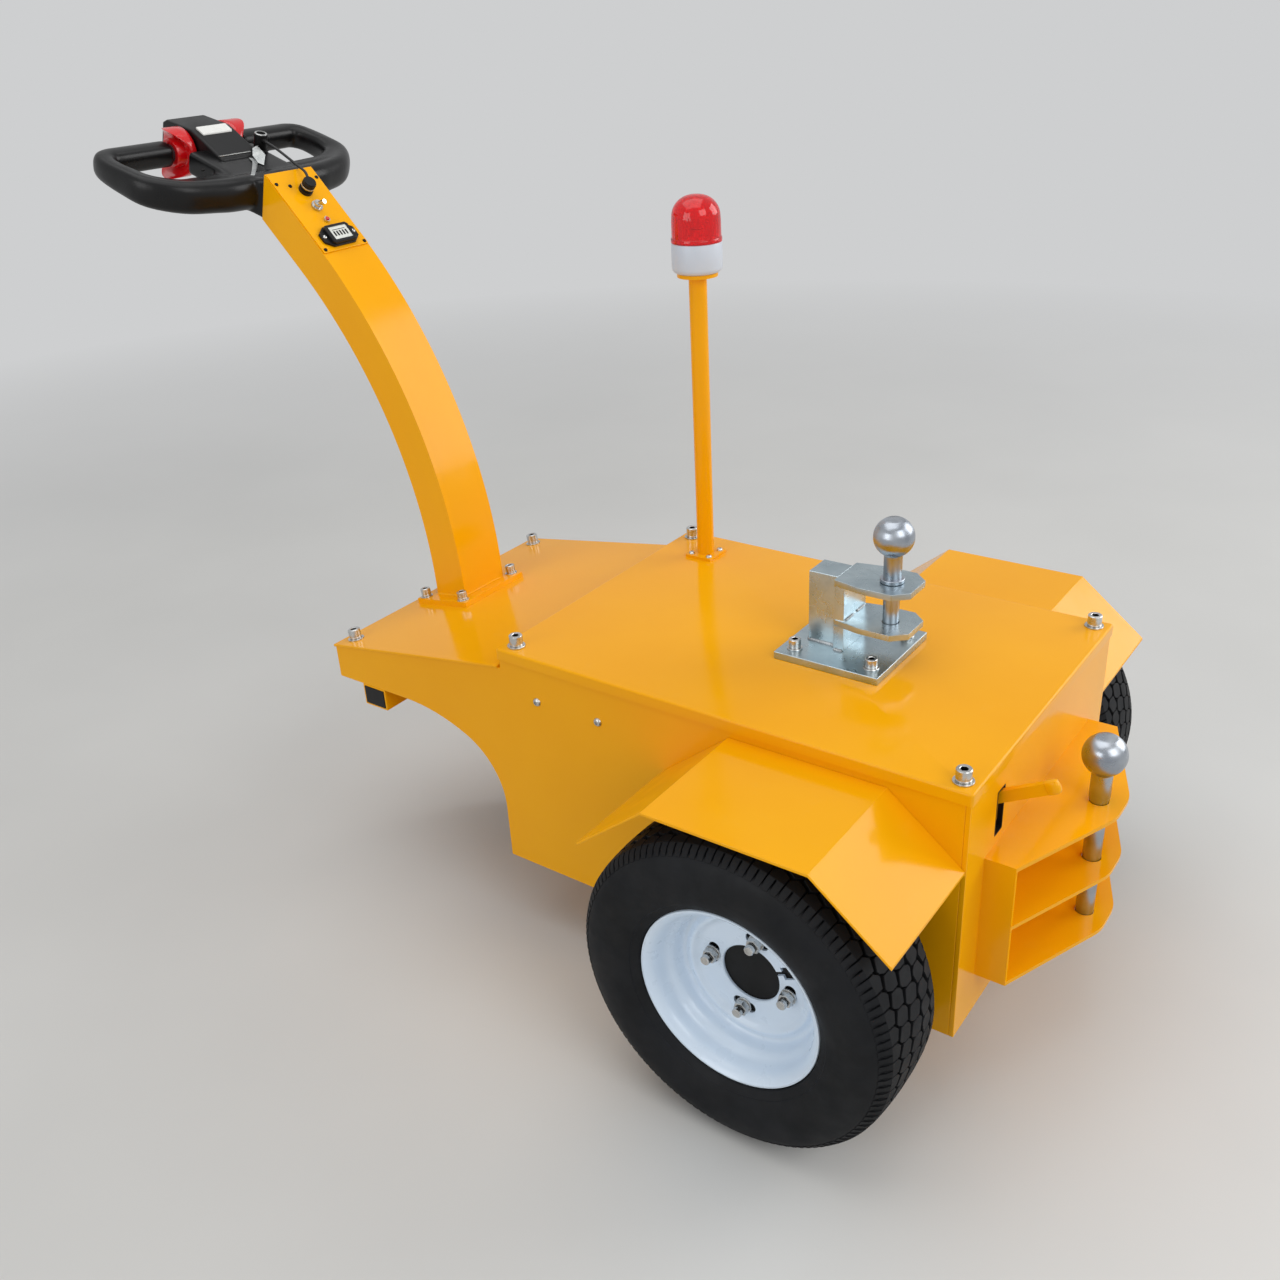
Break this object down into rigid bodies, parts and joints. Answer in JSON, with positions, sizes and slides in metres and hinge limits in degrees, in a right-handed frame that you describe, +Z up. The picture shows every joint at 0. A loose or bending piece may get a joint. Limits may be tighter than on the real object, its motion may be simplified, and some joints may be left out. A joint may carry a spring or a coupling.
{
  "type": "walk-behind electric baggage tug",
  "caption": "Walk-behind electric baggage tug: orange steel chassis with fenders, curved arm and loop handle, drive wheels, swivel caster, beacon and ball-headed drop pin hitches.",
  "frame": {"origin": "on the floor, at the centre of the tug's plan box", "axes": "+X towards the end hitch, +Y towards the right wheel, +Z up"},
  "size_m": [1.5262, 0.834, 1.0652],
  "materials": {
    "body_paint": "orange-yellow gloss paint on welded steel sheet",
    "black_plastic": "black moulded plastic, satin",
    "grip_plastic": "dark grey soft grip",
    "cable_rubber": "thin black cable sheath",
    "red_plastic": "glossy red moulded plastic",
    "white_plastic": "white push button",
    "bright_metal": "plated switch parts",
    "grey_plastic": "pale grey beacon base",
    "red_lens": "translucent red ribbed lens",
    "zinc_steel": "zinc plated steel",
    "bright_steel": "turned bare steel",
    "black_metal": "black painted steel",
    "battery_case": "plain dark block",
    "tyre_rubber": "black rubber, turf tread",
    "rim_paint": "white enamel on pressed steel",
    "caster_rubber": "solid rubber tyred caster wheel"
  },
  "bodies": {
    "chassis": {"side_plate_left": "body_paint", "side_plate_right": "body_paint", "end_plate": "body_paint", "nose_plate": "body_paint", "arch_plate": "body_paint", "floor_pan": "body_paint", "front_deck": "body_paint", "top_cover": "body_paint", "fender_left": "body_paint", "fender_right": "body_paint", "cross_tube": "body_paint", "cross_tube_plugs": "black_plastic", "arm": "body_paint", "arm_panel": "body_paint", "battery_gauge": "black_plastic", "panel_controls": "bright_metal", "cable_plug": "black_plastic", "handle_loop": "black_plastic", "grip_bar": "black_plastic", "grips": "grip_plastic", "head_box": "black_plastic", "throttles": "red_plastic", "head_button": "white_plastic", "key_switch": "black_plastic", "key_cable": "cable_rubber", "beacon_pole": "body_paint", "beacon_base": "grey_plastic", "beacon_lens": "red_lens", "top_hitch_base": "zinc_steel", "top_hitch_jaw": "zinc_steel", "end_hitch": "body_paint", "release_lever": "body_paint", "axle_tube": "black_metal", "battery_block": "battery_case", "caster_mount": "body_paint", "caster_plate": "zinc_steel"},
    "wheel_left": {"tyre_left": "tyre_rubber", "rim_left": "rim_paint", "hub_left": "black_metal"},
    "wheel_right": {"tyre_right": "tyre_rubber", "rim_right": "rim_paint", "hub_right": "black_metal"},
    "caster_swivel": {"caster_fork": "zinc_steel"},
    "caster_roller": {"caster_wheel": "caster_rubber"},
    "top_hitch_pin": {"top_pin": "bright_steel"},
    "end_hitch_pin": {"end_pin": "bright_steel"}
  },
  "joints": [
    {"name": "wheel_left_spin", "type": "hinge", "parent": "chassis", "child": "wheel_left", "pos_m": [0.46677, -0.347, 0.203], "axis": [0, 1, 0], "continuous": true},
    {"name": "wheel_right_spin", "type": "hinge", "parent": "chassis", "child": "wheel_right", "pos_m": [0.46677, 0.347, 0.203], "axis": [0, 1, 0], "continuous": true},
    {"name": "caster_swivel_turn", "type": "hinge", "parent": "chassis", "child": "caster_swivel", "pos_m": [-0.16523, 0, 0.22], "axis": [0, 0, 1], "continuous": true},
    {"name": "caster_roll", "type": "hinge", "parent": "caster_swivel", "child": "caster_roller", "pos_m": [-0.12023, 0, 0.1], "axis": [0, 1, 0], "continuous": true},
    {"name": "top_pin_lift", "type": "slide", "parent": "chassis", "child": "top_hitch_pin", "axis": [0, 0, 1], "range_m": [0, 0.09]},
    {"name": "end_pin_lift", "type": "slide", "parent": "chassis", "child": "end_hitch_pin", "axis": [0, 0, 1], "range_m": [0, 0.18]}
  ]
}
